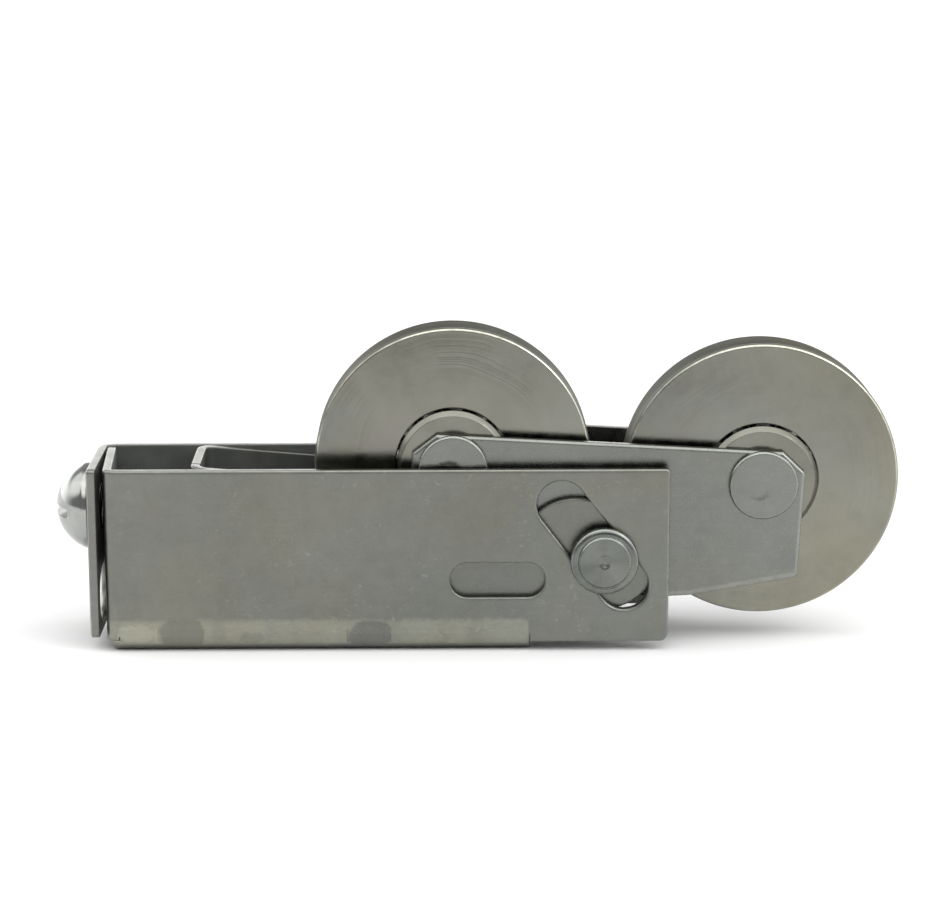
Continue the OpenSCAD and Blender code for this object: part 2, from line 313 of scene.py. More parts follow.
def place(bm, at, rot_y=0.0):
    matrix = Matrix.Translation(at) @ Matrix.Rotation(rot_y, 4, "Y")
    bmesh.ops.transform(bm, matrix=matrix, verts=bm.verts)


def new_object(name, bm):
    mesh = bpy.data.meshes.new(name)
    bm.to_mesh(mesh)
    bm.free()
    obj = bpy.data.objects.new(name, mesh)
    bpy.context.scene.collection.objects.link(obj)
    return obj


def shade(mesh, sharp):
    mesh.polygons.foreach_set("use_smooth", [True] * len(mesh.polygons))
    mesh.set_sharp_from_angle(angle=math.radians(sharp))


def make(name, bm, body, node, materials, sharp, weighted=True):
    """Turns a bmesh in millimetres into a finished piece that rides on a body."""
    bmesh.ops.scale(bm, vec=(MM, MM, MM), verts=bm.verts)
    obj = new_object(name, bm)
    shade(obj.data, sharp)
    for material in materials:
        obj.data.materials.append(material)
    if weighted:
        modifier = obj.modifiers.new("weighted", "WEIGHTED_NORMAL")
        modifier.keep_sharp = True
        modifier.weight = 60
    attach(obj, body)
    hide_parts(node)
    return obj


# ------------------------------------------------------------------ shader graphs


class Field:
    """A shader value. The operators add scalar math nodes; vectors go through Graph.vector."""

    def __init__(self, graph, socket):
        self.graph, self.socket = graph, socket

    def __add__(self, other):
        return self.graph.calc("ADD", self, other)

    def __sub__(self, other):
        return self.graph.calc("SUBTRACT", self, other)

    def __rsub__(self, other):
        return self.graph.calc("SUBTRACT", other, self)

    def __mul__(self, other):
        return self.graph.calc("MULTIPLY", self, other)

    def __abs__(self):
        return self.graph.calc("ABSOLUTE", self)


class Graph:
    def __init__(self, tree):
        self.tree = tree
        tree.nodes.clear()

    def put(self, node, key, value):
        """Links a Field to an input, or sets the input's value."""
        if isinstance(value, Field):
            self.tree.links.new(value.socket, node.inputs[key])
        else:
            node.inputs[key].default_value = value

    def node(self, kind, inputs=None, output=0, **properties):
        node = self.tree.nodes.new(kind)
        for name, value in properties.items():
            setattr(node, name, value)
        for key, value in (inputs or {}).items():
            self.put(node, key, value)
        return Field(self, node.outputs[output])

    def calc(self, operation, a, b=0.0, clamp=False):
        return self.node("ShaderNodeMath", {0: a, 1: b, 2: 0.0},
                         operation=operation, use_clamp=clamp)

    def vector(self, operation, a, b=None):
        inputs = {0: a}
        if b is not None:
            inputs["Scale" if operation == "SCALE" else 1] = b
        output = "Value" if operation in ("LENGTH", "DOT_PRODUCT") else "Vector"
        return self.node("ShaderNodeVectorMath", inputs, output, operation=operation)

    def shift(self, vector, offset):
        return self.vector("ADD", vector, offset)

    def separate(self, vector):
        node = self.tree.nodes.new("ShaderNodeSeparateXYZ")
        self.put(node, 0, vector)
        return [Field(self, output) for output in node.outputs]

    def along_x(self, value):
        return self.node("ShaderNodeCombineXYZ", {0: value})

    def position_mm(self):
        position = self.node("ShaderNodeTexCoord", output="Object")
        return self.vector("SCALE", position, 1000.0)

    def stretch(self, vector, scale, rotation=(0, 0, 0)):
        return self.node("ShaderNodeMapping",
                         {"Scale": scale, "Rotation": rotation, "Vector": vector})

    def noise(self, vector, scale, detail=3.0, rough=0.55, distort=0.0):
        return self.node("ShaderNodeTexNoise", {
            "Vector": vector, "Scale": scale, "Detail": detail,
            "Roughness": rough, "Distortion": distort})

    def remap(self, value, source, to=(0.0, 1.0), smooth=True):
        """Maps the source range onto the range to."""
        return self.node("ShaderNodeMapRange",
                         {0: value, 1: source[0], 2: source[1], 3: to[0], 4: to[1]},
                         interpolation_type="SMOOTHSTEP" if smooth else "LINEAR")

    def sway(self, value, gain, spread=0.2):
        """A noise mapped from 0.5 +- spread onto +- gain."""
        return self.remap(value, (0.5 - spread, 0.5 + spread), to=(-gain, gain), smooth=False)

    def contour(self, value, width):
        """Thin lines where a noise passes through 0.5."""
        return self.remap(abs(value - 0.5), (0.0, width), to=(1.0, 0.0))

    def ramp(self, value, stops):
        node = self.tree.nodes.new("ShaderNodeValToRGB")
        self.put(node, 0, value)
        elements = node.color_ramp.elements
        while len(elements) < len(stops):
            elements.new(0.5)
        for element, (position, colour) in zip(elements, stops):
            element.position, element.color = position, (*colour, 1)
        return Field(self, node.outputs[0])

    def blend(self, factor, a, b):
        return self.node("ShaderNodeMix", {0: factor, 2: a, 3: b}, data_type="FLOAT")


def new_material(name):
    """A material with a principled shader; returns (material, graph, shader)."""
    material = bpy.data.materials.new(name)
    material.use_nodes = True
    graph = Graph(material.node_tree)
    output = graph.tree.nodes.new("ShaderNodeOutputMaterial")
    shader = graph.tree.nodes.new("ShaderNodeBsdfPrincipled")
    graph.tree.links.new(shader.outputs["BSDF"], output.inputs["Surface"])
    return material, graph, shader


# ------------------------------------------------------------------ steel

# Scratch directions as (rotation, frequency along the scratch).
SCRATCHES = (((0, 0.35, 0.0), 0.05), ((0, -0.9, 0.2), 0.08), ((0, 1.35, -0.1), 0.07))
# Dark patches on the fold as (x, z, half width, half height, amount), mm.
DARK_PATCHES = ((-19.2, 2.6, 3.2, 2.3, 1.0), (6.8, 2.5, 3.0, 2.0, 1.0), (-9.6, 2.0, 1.7, 0.8, 0.4))
BRIGHT_PATCH = (-25.5, 2.7, 2.6, 1.25)
# Short upright lines on the fold as (x in mm, change of tone).
FOLD_LINES = ((-22.7, 0.30), (3.6, -0.35))


def scratch_lines(g, v):
    """Thin, long scratches in three directions, each kept to patches."""
    scratches = None
    for k, (rotation, frequency) in enumerate(SCRATCHES):
        moved = g.shift(v, (37.0 * k, 11.0 * k, 5.0 * k))
        drawn = g.stretch(moved, (frequency, 2.6, 2.6), rotation)
        line = g.contour(g.noise(drawn, scale=1.0, detail=2.0, rough=0.5), width=0.012)
        gate = g.remap(g.noise(v, scale=0.11 + 0.03 * k, detail=2.0), (0.54, 0.64))
        line = line * gate
        scratches = line if scratches is None else g.calc("MAXIMUM", scratches, line)
    return scratches


def turning_rings(g, v, tone, height, mottle, rim, highlight_gain, axis, ring, painted_light_slope):
    """Rings and arcs about an axis along Y, with a painted sheen round the axis and, if given, a
    painted light slope; returns the new tone and height.
    """
    centred = g.vector("SUBTRACT", v, (axis.x, 0.0, axis.z))
    flat = g.vector("MULTIPLY", centred, (1, 0, 1))
    r = g.vector("LENGTH", flat)
    # a painted sheen that changes round the axis, standing in for the turned face's highlight
    direction = g.vector("SCALE", g.vector("NORMALIZE", flat), 0.85)
    painted_fan_sheen = g.noise(g.shift(direction, (axis.x * 0.07, 4.0, 2.0)), scale=1.0, detail=1.0)
    tone = tone + g.sway(painted_fan_sheen, gain=ring * 0.9, spread=0.15)
    rings = g.noise(g.along_x(r), scale=2.2, detail=5.0, rough=0.75)
    if painted_light_slope:
        # painted light: lighter towards +X, where the light falls, and darker towards the top; the
        # rim's painted highlight fades towards the bottom
        right_highlight, top_shade = painted_light_slope
        x, _, z = g.separate(centred)
        tone = tone + g.remap(x, (-19.0, 19.0), to=(-0.02, right_highlight), smooth=False)
        tone = tone - g.remap(z, (4.0, 18.0), to=(0.0, top_shade))
        tone = tone - rim * highlight_gain * g.remap(z, (-8.0, 8.0), to=(0.8, 0.0))
    wobble = g.noise(g.vector("SCALE", flat, 0.10), scale=1.0, detail=2.0)
    arcs = g.noise(g.along_x(r + wobble * 2.0), scale=1.15, detail=3.0, rough=0.7)
    sector = g.shift(g.vector("SCALE", flat, 0.085), (axis.x, 0.3, 0.0))
    gate = g.remap(g.noise(sector, scale=1.0, detail=1.5), (0.50, 0.60))
    gate = gate * g.remap(r + mottle * 3.0, (12.5, 15.0))
    line = g.contour(arcs, width=0.045) * gate
    tone = tone + (rings - 0.5) * ring - line * (ring * 0.8)
    depth = min(1.0, ring * 8)
    height = height + rings * (1.3 * depth) - line * (1.8 * depth)
    return tone, height


def paint_fold_marks_and_reflections(g, v, colour, tone, height):
    """The folding tool's marks on the long bends, with a painted floor reflection low on the wall
    and a painted reflection towards both ends; returns the new colour, tone and height.
    """
    x, _, z = g.separate(v)
    wobble = g.noise(v, scale=0.45)
    tall_wobble = g.noise(g.stretch(v, (0.9, 0.9, 2.2)), scale=1.0)
    broad = g.noise(g.shift(v, (5.0, 9.0, 1.0)), scale=0.28, rough=0.6)
    # painted floor reflection in a band low on the wall, as far as the web goes to the right
    reflection_band = g.remap(z + wobble * 1.6, (4.9, 5.8), to=(1.0, 0.0)) * g.remap(z, (0.7, 1.3))
    reflection_band = reflection_band * g.remap(x, (28.3, 28.7), to=(1.0, 0.0))
    wave = g.noise(g.along_x(x), scale=0.17, detail=2.0)
    floor_reflection = reflection_band * g.remap(wave + tall_wobble * 0.5, (0.66, 0.92), to=(1.0, 0.6))
    patch_x = x + (broad - 0.5) * 2.2
    patch_z = z + (tall_wobble - 0.5) * 1.3

    def patch(centre_x, centre_z, half_x, half_z):
        dx = (patch_x - centre_x) * (1.0 / half_x)
        dz = (patch_z - centre_z) * (1.0 / half_z)
        return g.remap(g.calc("POWER", abs(dx), 3.0) + dz * dz, (0.75, 1.25), to=(1.0, 0.0))

    dark = None
    for *shape, amount in DARK_PATCHES:
        mask = patch(*shape) * amount
        dark = mask if dark is None else g.calc("MAXIMUM", dark, mask)
    bright = patch(*BRIGHT_PATCH) * 0.22
    floor_reflection = floor_reflection * (1.0 - dark)
    tone = tone + floor_reflection * 0.46
    # the painted floor reflection is a little warmer, with long streaks
    streaks = g.noise(g.stretch(v, (0.03, 1.0, 1.1)), scale=1.0)
    tone = tone + reflection_band * g.sway(streaks, gain=0.05, spread=0.15)
    colour = g.node("ShaderNodeMix", {0: floor_reflection, 6: colour, 7: (1.02, 1.0, 0.93, 1)}, output=2,
                    data_type="RGBA", blend_type="MULTIPLY")
    tone = tone - dark * 0.04 + bright
    height = height + floor_reflection * 1.0 - dark * 1.6 + bright * 5.0
    # painted reflection: lighter towards both ends
    tone = tone + (g.remap(x, (-30.0, -10.0), to=(0.07, 0.0))
                   + g.remap(x, (22.0, 44.0), to=(0.0, 0.05)))
    for line_x, gain in FOLD_LINES:
        distance = abs(x + (tall_wobble - 0.5) * 0.5 - line_x)
        line = g.remap(distance, (0.05, 0.20), to=(1.0, 0.0))
        line = line * (g.remap(z, (3.1, 3.5), to=(1.0, 0.0)) * g.remap(z, (1.1, 1.4)))
        tone = tone + line * gain
        height = height - line * 3.0
    return colour, tone, height


def steel(name, tints, *, rough, streak, scratch, brightness=1.0, patch=0.06, grain=0.05,
          drift=0.07, fleck=0.12, edge_mm=0.35, edge_gain=0.25, highlight_gain=0.5, rough_range=0.12,
          bump_mm=0.004, anisotropy=0.0, axis=None, ring=0.0, painted_light_slope=None, fold_marks_and_reflections=False):
    """Worn bare steel, with painted highlights and painted shade.

    tints are three colours mixed in patches, with patch their frequency per mm. streak, scratch,
    grain, drift, fleck, the edge gain, the rim gain and ring are the strengths of the tone changes;
    the edge gain also paints a highlight on worn edges, and the rim gain paints one on the layer
    "rim". axis is the centre of turning rings, with a painted light slope given as (highlight
    towards the right, shade towards the top)."""
    material, g, shader = new_material(name)
    v = g.position_mm()
    patches = g.noise(v, scale=patch, detail=3.0, distort=0.6)
    colour = g.ramp(patches, list(zip((0.32, 0.5, 0.68), tints)))
    # mottling at 1 to 3 mm, fine grain, and rolling streaks along X
    mottle = g.noise(v, scale=0.42, detail=4.0, rough=0.6, distort=0.3)
    fine = g.noise(v, scale=4.5, rough=0.6)
    streaks = g.noise(g.stretch(v, (0.06, 1.6, 1.6)), scale=1.0, detail=4.0, rough=0.6)
    tone = g.sway(mottle, gain=0.09) + g.sway(fine, gain=grain) + g.sway(streaks, gain=streak)
    scratches = scratch_lines(g, v) * scratch
    tone = tone + scratches * 0.16
    # small dark specks and light flecks
    specks = g.remap(g.noise(v, scale=1.7, detail=2.0, rough=0.4), (0.70, 0.78))
    tone = tone - specks * 0.10
    spots = g.noise(g.shift(v, (71.0, 3.0, 19.0)), scale=1.25, detail=4.0, rough=0.65, distort=0.8)
    flecks = g.remap(spots, (0.58, 0.70)) * g.remap(g.noise(v, scale=0.13, detail=2.0),
                                                    (0.42, 0.60))
    tone = tone + flecks * fleck
    # worn outer edges, also lightened as a painted highlight, found by comparing the bevelled normal
    # with the true one
    bevel = g.node("ShaderNodeBevel", {"Radius": edge_mm * MM}, "Normal", samples=6)
    normal = g.node("ShaderNodeNewGeometry", output="Normal")
    edge = g.remap(1.0 - g.vector("DOT_PRODUCT", bevel, normal), (0.01, 0.16))
    wear_and_highlight = edge * g.remap(g.noise(v, scale=0.8), (0.3, 0.65), to=(0.45, 1.0))
    tone = tone + wear_and_highlight * edge_gain
    # the mesh layer "rim": positive gets a painted highlight, negative a painted shade with a
    # rougher finish
    layer = g.node("ShaderNodeAttribute", output="Fac",
                   attribute_type="GEOMETRY", attribute_name="rim")
    rim = g.remap(layer, (0.02, 0.7)) * g.remap(g.noise(v, scale=0.9), (0.25, 0.6), to=(0.55, 1.0))
    tone = tone + rim * highlight_gain
    shade_and_dull = g.remap(layer, (-1.0, -0.05), to=(1.0, 0.0))
    tone = tone - shade_and_dull * 0.12
    broad = g.noise(g.shift(v, (13.0, 50.0, 29.0)), scale=0.045, detail=2.0, rough=0.5)
    tone = tone + g.sway(broad, gain=drift, spread=0.18)
    height = mottle * 0.7 + fine * 0.35 - scratches * 0.5 + streaks * 0.4
    if axis is not None:
        tone, height = turning_rings(g, v, tone, height, mottle, rim, highlight_gain,
                                     axis, ring, painted_light_slope)
    if fold_marks_and_reflections:
        colour, tone, height = paint_fold_marks_and_reflections(g, v, colour, tone, height)
    colour = g.vector("SCALE", colour, (tone + 1.0) * brightness)
    g.put(shader, "Base Color", colour)
    g.put(shader, "Metallic", 1.0)
    roughness = g.remap(mottle, (0.3, 0.7), smooth=False,
                        to=(rough - rough_range / 2, rough + rough_range / 2))
    roughness = roughness + g.sway(fine, gain=0.03) + shade_and_dull * 0.42 - wear_and_highlight * 0.10
    g.put(shader, "Roughness", g.calc("SUBTRACT", roughness, scratches * 0.08, clamp=True))
    if anisotropy:
        tangent = g.node("ShaderNodeTangent", direction_type="RADIAL", axis="Y")
        g.put(shader, "Tangent", tangent)
        g.put(shader, "Anisotropic", anisotropy)
    bump = g.node("ShaderNodeBump", {"Distance": bump_mm * MM, "Strength": 1.0,
                                     "Height": height, "Normal": bevel})
    g.put(shader, "Normal", bump)
    return material


def tint(r, g, b, base=0.202):
    return (base * r, base * g, base * b)


WARM = tint(1.0, 0.99, 0.84)
NEUTRAL = tint(0.98, 1.0, 0.885)
COOL = tint(0.95, 0.985, 0.91)
ROSE = tint(1.0, 0.955, 0.86)
STRAW = tint(1.04, 1.02, 0.80)

INSIDE = dict(tints=(tint(0.98, 1.0, 0.92), tint(0.95, 1.0, 0.95), tint(0.97, 1.0, 0.94)),
              streak=0.03, scratch=0.5, fleck=0.1, highlight_gain=0.0)
WHEEL = dict(rough=0.19, drift=0.10, highlight_gain=1.8, patch=0.045, streak=0.0, scratch=0.3,
             anisotropy=0.45, edge_mm=0.18, edge_gain=0.9, bump_mm=0.003, fleck=0.06)
RACE = dict(tints=(NEUTRAL, WARM, NEUTRAL), rough=0.20, highlight_gain=3.6, streak=0.0, grain=0.015,
            scratch=0.2, ring=0.08, anisotropy=0.2, edge_mm=0.12, brightness=0.97,
            bump_mm=0.0015, fleck=0.03)

ZINC = steel("zinc_sheet", (WARM, NEUTRAL, COOL), rough=0.36, highlight_gain=1.0, fold_marks_and_reflections=True,
             streak=0.02, scratch=0.45, fleck=0.34, edge_gain=0.55, edge_mm=0.45)
# inner faces: rougher, and lightened as painted fill light in the shaded inside of the housing
ZINC_INSIDE_FILL_LIT = steel("zinc_sheet_inside_fill_lit", rough=0.62, brightness=1.15, **INSIDE)
SHEARED = steel("sheared_edge",
                (tint(1.0, 0.995, 0.9), tint(1.0, 1.0, 0.92), tint(0.98, 0.99, 0.9)),
                rough=0.34, streak=0.02, scratch=0.3, fleck=0.2, edge_gain=0.3,
                brightness=1.12, bump_mm=0.006, highlight_gain=0.0)
YOKE = steel("yoke_sheet", (COOL, NEUTRAL, COOL), rough=0.32, brightness=0.92, streak=0.03,
             scratch=0.7, edge_gain=0.4)
# inner faces: rougher, and lightened as painted fill light in the shaded inside of the yoke
YOKE_INSIDE_FILL_LIT = steel("yoke_sheet_inside_fill_lit", rough=0.6, brightness=1.05, **INSIDE)
TRUCK = steel("truck_sheet", (COOL, tint(0.96, 1.0, 0.92), NEUTRAL), rough=0.28, highlight_gain=0.36,
              streak=0.02, scratch=0.6, edge_mm=0.3, edge_gain=0.4)
# each wheel's last pair is its painted light slope: lighter to the right, darker at the top
WHEEL_STEEL = {
    "left": steel("wheel_steel_left", (NEUTRAL, WARM, ROSE), axis=WHEELS["left"],
                  painted_light_slope=(0.07, 0.09), ring=0.115, brightness=0.96, **WHEEL),
    "right": steel("wheel_steel_right", (NEUTRAL, WARM, STRAW), axis=WHEELS["right"],
                   painted_light_slope=(0.14, 0.15), ring=0.075, brightness=0.98, **WHEEL)}
RIVET = steel("rivet_steel", (COOL, tint(0.97, 1.01, 0.93), COOL), rough=0.25, streak=0.0,
              scratch=0.5, edge_mm=0.15, edge_gain=0.5, fleck=0.1)
PIN_STEEL = steel("pin_steel",
                  (tint(0.95, 1.0, 0.90), tint(0.93, 0.99, 0.91), tint(0.97, 1.0, 0.89)),
                  rough=0.27, highlight_gain=0.7, streak=0.0, scratch=0.4, axis=PIN, ring=0.14,
                  anisotropy=0.25, edge_mm=0.12, edge_gain=0.4, brightness=0.93, fleck=0.03,
                  grain=0.02)
RACE_STEEL = {side: steel("race_steel_" + side, axis=WHEELS[side], **RACE) for side in WHEELS}
BALL = steel("ball_steel", ((0.45, 0.45, 0.44), (0.46, 0.46, 0.45), (0.45, 0.45, 0.44)),
             rough=0.10, streak=0.0, grain=0.01, scratch=0.1, edge_mm=0.05, rough_range=0.03,
             bump_mm=0.0003, fleck=0.0)
SCREW = steel("screw_plate", ((0.37, 0.38, 0.36), (0.39, 0.40, 0.38), (0.35, 0.36, 0.35)),
              rough=0.15, patch=0.2, streak=0.0, grain=0.02, scratch=0.4, edge_mm=0.12,
              edge_gain=0.15, rough_range=0.08, bump_mm=0.0015, fleck=0.05)

# ------------------------------------------------------------------ housing: one folded sheet

# In the flat, p runs along X and s runs round the section: down the front wall, across the
# web at the bottom and up the back wall. Both walls fold into flaps across the left end.
BEND = 2.5
FRONT_BEND = 1.8
FRONT_FOLD_X = -29.6 + FRONT_BEND
FRONT_ANGLE = math.pi / 2 - math.radians(3.5)
BACK_FOLD_X, CORNER_Y = LEFT_X + BEND, HALF_Y - BEND
BEND_ARC = math.pi / 2 * BEND
FRONT_END = HEIGHT - BEND
WEB_START = FRONT_END + BEND_ARC
WEB_END = WEB_START + 2 * CORNER_Y
BACK_START = WEB_END + BEND_ARC
BACK_END = BACK_START + HEIGHT - BEND
FRONT_FLAP_P = FRONT_FOLD_X - FRONT_ANGLE * FRONT_BEND  # where the flaps become flat
BACK_FLAP_P = BACK_FOLD_X - BEND_ARC
WEB_X = 28.65  # half length of the web
FLAP_DROP = 0.75  # the flaps' lower edges, past the start of the bend
FRONT_DROP = BEND - 1.31  # the same for the walls to the right of the web
BACK_DROP = 0.5
LIP = 0.95  # the web's left tongue, in from the start of each bend
NICK = 0.12
NICK_DEPTH = 0.3


def fold_end(p, h, fold_x, radius, angle):
    """(x, distance from the middle) on a wall that folds across the left end."""
    if p >= fold_x:
        return p, HALF_Y - h
    turned = min((fold_x - p) / radius, angle)
    x = fold_x - (radius - h) * math.sin(turned)
    y = HALF_Y - radius + (radius - h) * math.cos(turned)
    beyond = fold_x - angle * radius - p
    if beyond > 0:
        x -= math.cos(angle) * beyond
        y -= math.sin(angle) * beyond
    return x, y


def fold_housing(p, s, h):
    left, right = p < FRONT_FOLD_X, p > WEB_X + NICK / 2
    margin = LIP / 2 + FLAP_DROP / 2
    if (s < FRONT_END + margin and left or s < FRONT_END and not left
            or s < (FRONT_END + WEB_START) / 2 and right):
        x, y = fold_end(p, h, FRONT_FOLD_X, FRONT_BEND, FRONT_ANGLE)
        return x, -y, HEIGHT - s
    if (s > BACK_START - LIP / 2 - FLAP_DROP / 2 and left or s > BACK_START and not left
            or s > (WEB_END + BACK_START) / 2 and right):
        x, y = fold_end(p, h, BACK_FOLD_X, BEND, math.pi / 2)
        return x, y, BEND + (s - BACK_START)
    if s < WEB_START:
        a = max(0.0, (s - FRONT_END) / BEND)
        return p, -CORNER_Y - (BEND - h) * math.cos(a), BEND - (BEND - h) * math.sin(a)
    if s <= WEB_END:
        return p, -CORNER_Y + (s - WEB_START), h
    a = min(math.pi / 2, (s - WEB_END) / BEND)
    return p, CORNER_Y + (BEND - h) * math.sin(a), BEND - (BEND - h) * math.cos(a)


def housing_outline():
    """(p, s, corner radius) round the flat sheet."""
    front_flap_end = FRONT_FLAP_P - 13.1
    back_flap_end = BACK_FLAP_P - (CORNER_Y + 7.95)
    left_nick, right_nick = FRONT_FOLD_X + NICK, WEB_X + NICK
    return [
        (RIGHT_X, 0, 0.5),
        (front_flap_end, 0, 0.25),
        (front_flap_end, FRONT_END + FLAP_DROP, 0.6),
        (FRONT_FOLD_X, FRONT_END + FLAP_DROP, 0.05),
        (FRONT_FOLD_X, FRONT_END + NICK_DEPTH, 0.04),
        (left_nick, FRONT_END + NICK_DEPTH, 0.04),
        (left_nick, FRONT_END + LIP, 0.05),
        (-WEB_X, FRONT_END + LIP, 0.35),
        (-WEB_X, BACK_START - LIP, 0.35),
        (left_nick, BACK_START - LIP, 0.05),
        (left_nick, BACK_START - NICK_DEPTH, 0.04),
        (FRONT_FOLD_X, BACK_START - NICK_DEPTH, 0.04),
        (FRONT_FOLD_X, BACK_START - FLAP_DROP, 0.05),
        (back_flap_end, BACK_START - FLAP_DROP, 0.9),
        (back_flap_end, BACK_END, 0.6),
        (RIGHT_X, BACK_END, 0.5),
        (RIGHT_X, BACK_START - BACK_DROP, 1.2),
        (right_nick, BACK_START - BACK_DROP, 0.1),
        (right_nick, BACK_START, 0.04),
        (WEB_X, BACK_START, 0.04),
        (WEB_X, FRONT_END, 0.04),
        (right_nick, FRONT_END, 0.04),
        (right_nick, FRONT_END + FRONT_DROP, 0.1),
        (RIGHT_X, FRONT_END + FRONT_DROP, 1.2)]


def front_s(z):
    return HEIGHT - z


def back_s(z):
    return BACK_START + z - BEND


def housing_holes():
    """(points, roll) of the holes in both walls and both flaps."""
    top_x, top_z = 33.02, 20.66  # upper end of the sloping slot
    slope, length = math.radians(52.83), 14.2
    low_x, low_z = top_x + length * math.cos(slope), top_z - length * math.sin(slope)
    level_x, level_half, level_z = 24.25, 4.1, 10.12
    screw_hole, lower_z = 3.38, 6.6
    holes = []
    for s in (front_s, back_s):
        holes.append((slot((top_x, s(top_z)), (low_x, s(low_z)), 3.4),
                      ((0.5, 0.34), (0.1, 0.12))))
        holes.append((slot((level_x - level_half, s(level_z)),
                           (level_x + level_half, s(level_z)), 2.45),
                      ((0.3, 0.26), (0.1, 0.12))))
    front_p = FRONT_FLAP_P - 7.01 / math.sin(FRONT_ANGLE)
    back_p = BACK_FLAP_P - CORNER_Y
    screw_roll = ((0.2, 0.2), (0.1, 0.1))
    holes.append((circle(front_p, front_s(SCREW_Z), screw_hole, 60), screw_roll))
    holes.append((circle(front_p, front_s(lower_z), 2.6, 60), ((0.35, 0.35), (0.2, 0.3))))
    holes.append((circle(back_p, back_s(SCREW_Z), screw_hole, 60), screw_roll))
    holes.append((slot((back_p - 1.5, back_s(lower_z)), (back_p + 1.5, back_s(lower_z)), 3.8),
                  ((0.4, 0.45), (0.3, 0.4))))
    return holes


def housing_edge(p, q):
    """Width of the rolled edge: narrow at the nicks, wide at the right end."""
    if abs(p - FRONT_FOLD_X) < 0.3 or abs(p - WEB_X) < 0.3:
        return 0.03
    return 0.5 if p > RIGHT_X - 1 else 0.36


def build_housing():
    outline = housing_outline()
    bm = slab([(p, s) for p, s, _ in outline], [radius for _, _, radius in outline],
              ((housing_edge, 0.30), (0.06, 0.14)), housing_holes(), lined=True)
    cuts = 12  # per bend
    cut(bm, 1, stations(FRONT_END, BEND_ARC, cuts) + stations(WEB_END, BEND_ARC, cuts))
    cut(bm, 0, stations(FRONT_FOLD_X, -FRONT_ANGLE * FRONT_BEND, cuts)
        + stations(BACK_FOLD_X, -BEND_ARC, cuts)
        + [FRONT_FOLD_X + NICK / 2, WEB_X + NICK / 2])
    fold(bm, fold_housing)
    make("housing_shell", bm, "housing", "housing",
         (ZINC, SHEARED, ZINC_INSIDE_FILL_LIT), sharp=40)


# ------------------------------------------------------------------ yoke: one folded strip

# In the yoke's own frame the pin is the origin, the arms run to -X and the web is at their left.
# In the flat, p runs from the front arm's pin hole round to the back arm's.
YOKE_LENGTH = 57.4
YOKE_LEAN = math.radians(4.8)
YOKE_HALF_Y = HALF_Y - SHEET - 0.1
YOKE_BEND = 2.5
YOKE_CORNER_Y = YOKE_HALF_Y - YOKE_BEND
ARM = YOKE_LENGTH - YOKE_BEND
YOKE_WEB_START = ARM + math.pi / 2 * YOKE_BEND
YOKE_WEB_END = YOKE_WEB_START + 2 * YOKE_CORNER_Y
BACK_ARM = YOKE_WEB_END + math.pi / 2 * YOKE_BEND
BACK_PIN = BACK_ARM + ARM
YOKE_BOTTOM, YOKE_TOP = -7.75, 8.02
SEAM = YOKE_WEB_START + 0.33  # nick in the web's top edge


def fold_yoke(p, q, h):
    inner = YOKE_BEND - h
    if p <= ARM:
        x, y = -p, -YOKE_HALF_Y + h
    elif p < YOKE_WEB_START:
        a = (p - ARM) / YOKE_BEND
        x, y = -ARM - inner * math.sin(a), -YOKE_CORNER_Y - inner * math.cos(a)
    elif p <= YOKE_WEB_END:
        x, y = -YOKE_LENGTH + h, -YOKE_CORNER_Y + (p - YOKE_WEB_START)
    elif p < BACK_ARM:
        a = (p - YOKE_WEB_END) / YOKE_BEND
        x, y = -ARM - inner * math.cos(a), YOKE_CORNER_Y + inner * math.sin(a)
    else:
        x, y = -ARM + (p - BACK_ARM), YOKE_HALF_Y - h
    return x, y, q


def yoke_outline():
    def lobe(first, last):
        angles = [math.radians(a) for a in range(first, last, -6)]
        return [(-3.9 + 8 * math.cos(a), 8 * math.sin(a)) for a in angles]

    def nose(first, last):
        angles = [math.radians(a) for a in range(first, last, -6)]
        return [(7.4 * math.cos(a), 7.4 * math.sin(a)) for a in angles]

    # (x, z) along the arm's upper edge from the web to the nose, and back along its lower edge
    upper = [(-35.5, YOKE_TOP), (-29.5, 1.2), (-11.7, 1.2)]
    upper += [(x, z) for x, z in lobe(171, 80) if z > 1.6 and x <= -2.5]
    upper += nose(84, -1)
    lower = nose(-6, -85) + lobe(-81, -106)
    seam_top, seam_floor, seam_z = 0.28, 0.20, YOKE_TOP - 1.4
    points = [(-x, z) for x, z in lower[::-1]] + [(-x, z) for x, z in upper[::-1]]
    points += [(SEAM - seam_top, YOKE_TOP), (SEAM - seam_floor, seam_z),
               (SEAM + seam_floor, seam_z), (SEAM + seam_top, YOKE_TOP)]
    points += [(BACK_PIN + x, z) for x, z in upper + lower]
    points += [(BACK_PIN - 12.0, YOKE_BOTTOM), (12.0, YOKE_BOTTOM)]
    return clean(points)


def build_yoke():
    outline = yoke_outline()
    hole_roll = ((0.2, 0.2), (0.1, 0.1))
    web_hole = circle((YOKE_WEB_START + YOKE_WEB_END) / 2, 1.18, 3.595, 60)
    holes = [(circle(0, 0, PIN_BORE, 60), hole_roll),
             (circle(BACK_PIN, 0, PIN_BORE, 60), hole_roll), (web_hole, hole_roll)]

    def edge(p, q):
        return 0.02 if abs(p - SEAM) < 0.4 else 0.2

    bm = slab(outline, [0.0] * len(outline), ((edge, 0.2), (0.02, 0.12)), holes, lined=True)
    cut(bm, 0, stations(ARM, YOKE_WEB_START - ARM, 10)
        + stations(YOKE_WEB_END, BACK_ARM - YOKE_WEB_END, 10))
    fold(bm, fold_yoke)
    place(bm, PIN, YOKE_LEAN)
    make("yoke_strip", bm, "yoke", "adjuster_yoke",
         (YOKE, SHEARED, YOKE_INSIDE_FILL_LIT), sharp=40)


# ------------------------------------------------------------------ truck plates

